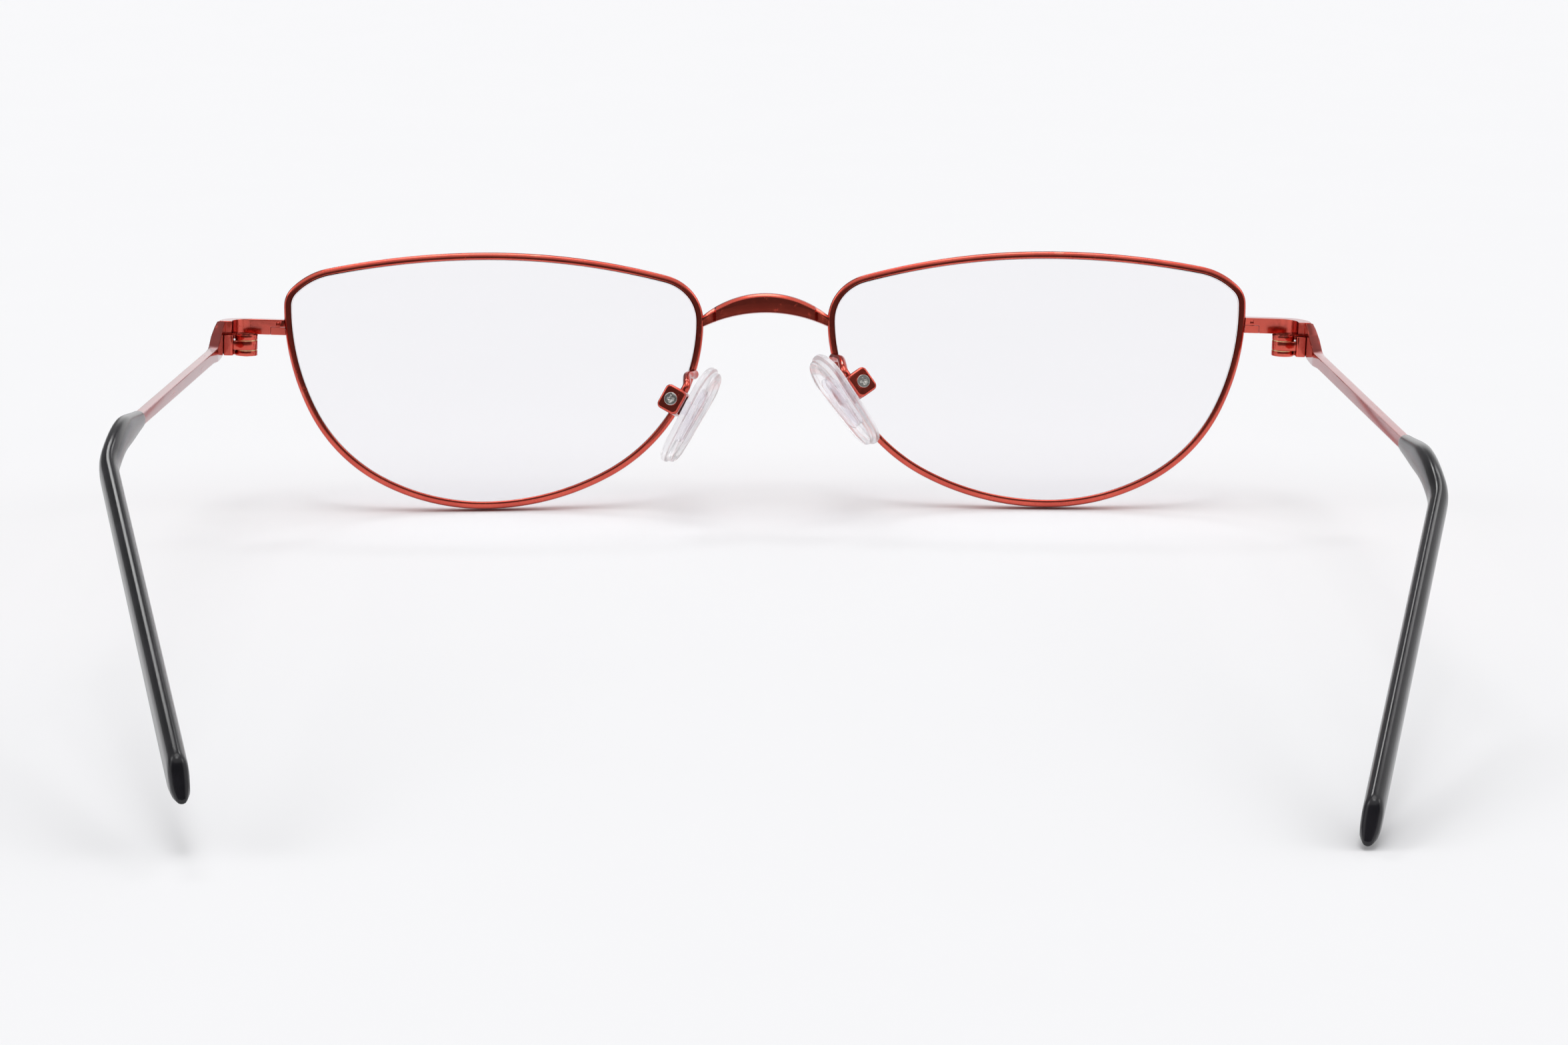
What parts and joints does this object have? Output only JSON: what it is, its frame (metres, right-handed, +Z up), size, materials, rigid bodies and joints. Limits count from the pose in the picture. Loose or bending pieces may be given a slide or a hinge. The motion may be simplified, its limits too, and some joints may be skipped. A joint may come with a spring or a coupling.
{
  "type": "cat eye eyeglasses",
  "caption": "Full-rim metal cat eye eyeglasses: half-moon lenses, arched bridge, folding temples with plastic tips, and rocking silicone nose pads on wire arms.",
  "frame": {"origin": "on the surface the glasses stand on, under the middle of their bounding box", "axes": "+Z up; the lenses face -Y and the open temples run to +Y; the wearer's left is +X"},
  "size_m": [0.1444, 0.1528, 0.0318],
  "materials": {
    "red_metal": "glossy metallic red lacquer over nickel alloy",
    "lens_glass": "clear, with a faint violet anti-reflection coat",
    "clear_silicone": "clear silicone, soft shine",
    "pad_insert": "translucent whitish plastic",
    "steel_screw": "polished steel",
    "washer_brass": "bright bronze",
    "black_acetate": "glossy black"
  },
  "bodies": {
    "front": {"rim_left": "red_metal", "rim_right": "red_metal", "lens_left": "lens_glass", "lens_right": "lens_glass", "bridge": "red_metal", "end_piece_left": "red_metal", "end_piece_right": "red_metal", "rim_lock_left": "red_metal", "rim_lock_right": "red_metal", "rim_lock_screw_left": "steel_screw", "rim_lock_screw_right": "steel_screw", "hinge_front_left": "red_metal", "hinge_front_right": "red_metal", "hinge_screw_left": "red_metal", "hinge_screw_right": "red_metal", "hinge_washers_left": "washer_brass", "hinge_washers_right": "washer_brass", "pad_arm_left": "red_metal", "pad_arm_right": "red_metal", "pad_box_left": "red_metal", "pad_box_right": "red_metal", "pad_screw_left": "steel_screw", "pad_screw_right": "steel_screw"},
    "temple_left_body": {"hinge_temple_left": "red_metal", "temple_left": "red_metal", "temple_tip_left": "black_acetate"},
    "pad_left_body": {"pad_insert_left": "pad_insert", "nose_pad_left": "clear_silicone"},
    "temple_right_body": {"hinge_temple_right": "red_metal", "temple_right": "red_metal", "temple_tip_right": "black_acetate"},
    "pad_right_body": {"pad_insert_right": "pad_insert", "nose_pad_right": "clear_silicone"}
  },
  "joints": [
    {"name": "temple_left_fold", "type": "hinge", "parent": "front", "child": "temple_left_body", "pos_m": [0.06488, -0.06865, 0.02125], "axis": [-0.0314, -0.0732, 0.9968], "range_deg": [0, 87]},
    {"name": "temple_right_fold", "type": "hinge", "parent": "front", "child": "temple_right_body", "pos_m": [-0.06476, -0.06869, 0.02085], "axis": [0.0314, 0.0384, -0.9988], "range_deg": [0, 87]},
    {"name": "pad_left_rock", "type": "hinge", "parent": "front", "child": "pad_left_body", "pos_m": [0.0116, -0.06502, 0.01476], "axis": [0.1919, 0.9292, 0.3159], "range_deg": [-12, 12]},
    {"name": "pad_right_rock", "type": "hinge", "parent": "front", "child": "pad_right_body", "pos_m": [-0.0116, -0.06545, 0.01671], "axis": [-0.2578, 0.8881, 0.3804], "range_deg": [-12, 12]}
  ]
}
